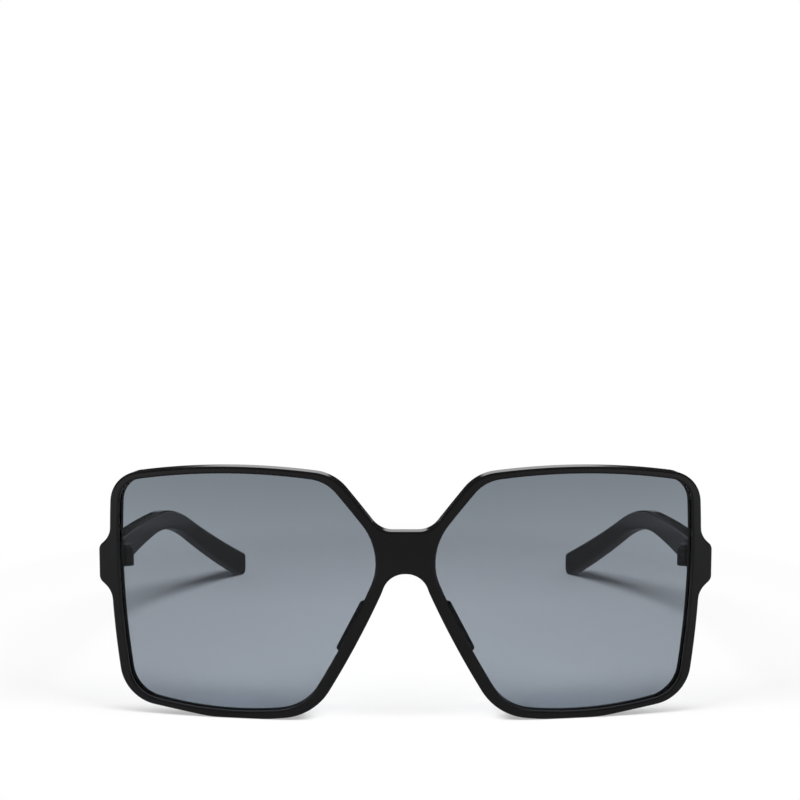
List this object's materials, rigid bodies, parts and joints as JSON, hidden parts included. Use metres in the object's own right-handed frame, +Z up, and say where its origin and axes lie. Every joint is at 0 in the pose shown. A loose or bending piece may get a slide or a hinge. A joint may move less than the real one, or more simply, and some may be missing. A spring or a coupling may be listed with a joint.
{
  "type": "sunglasses",
  "caption": "Oversized sunglasses with a glossy black acetate front, large five-sided grey lenses, bonded nose pads and temples that fold in on screwed hinges.",
  "frame": {"origin": "on the surface the open pair stands on, under the middle of its box", "axes": "+X to the wearer's left, +Y from the front back to the temple tips, +Z up"},
  "size_m": [0.1476, 0.1606, 0.0612],
  "materials": {
    "front_acetate": "polished black acetate",
    "temple_acetate": "polished black acetate",
    "lens": "clear grey tint, polished",
    "hinge_metal": "dark plated, satin",
    "screw_steel": "turned, satin",
    "core_wire_steel": "drawn wire"
  },
  "bodies": {
    "front": {"front_frame": "front_acetate", "left_lens": "lens", "right_lens": "lens", "left_nose_pad": "front_acetate", "right_nose_pad": "front_acetate", "left_front_hinge_leaf": "hinge_metal", "right_front_hinge_leaf": "hinge_metal", "left_hinge_screw": "screw_steel", "right_hinge_screw": "screw_steel"},
    "left_temple": {"left_temple": "temple_acetate", "left_temple_hinge_leaf": "hinge_metal", "left_core_wire": "core_wire_steel"},
    "right_temple": {"right_temple": "temple_acetate", "right_temple_hinge_leaf": "hinge_metal", "right_core_wire": "core_wire_steel"}
  },
  "joints": [
    {"name": "left_hinge", "type": "hinge", "parent": "front", "child": "left_temple", "pos_m": [0.06781, -0.06206, 0.03655], "axis": [0, 0, 1], "range_deg": [0, 83]},
    {"name": "right_hinge", "type": "hinge", "parent": "front", "child": "right_temple", "pos_m": [-0.06781, -0.06206, 0.03655], "axis": [0, 0, -1], "range_deg": [0, 79]}
  ]
}
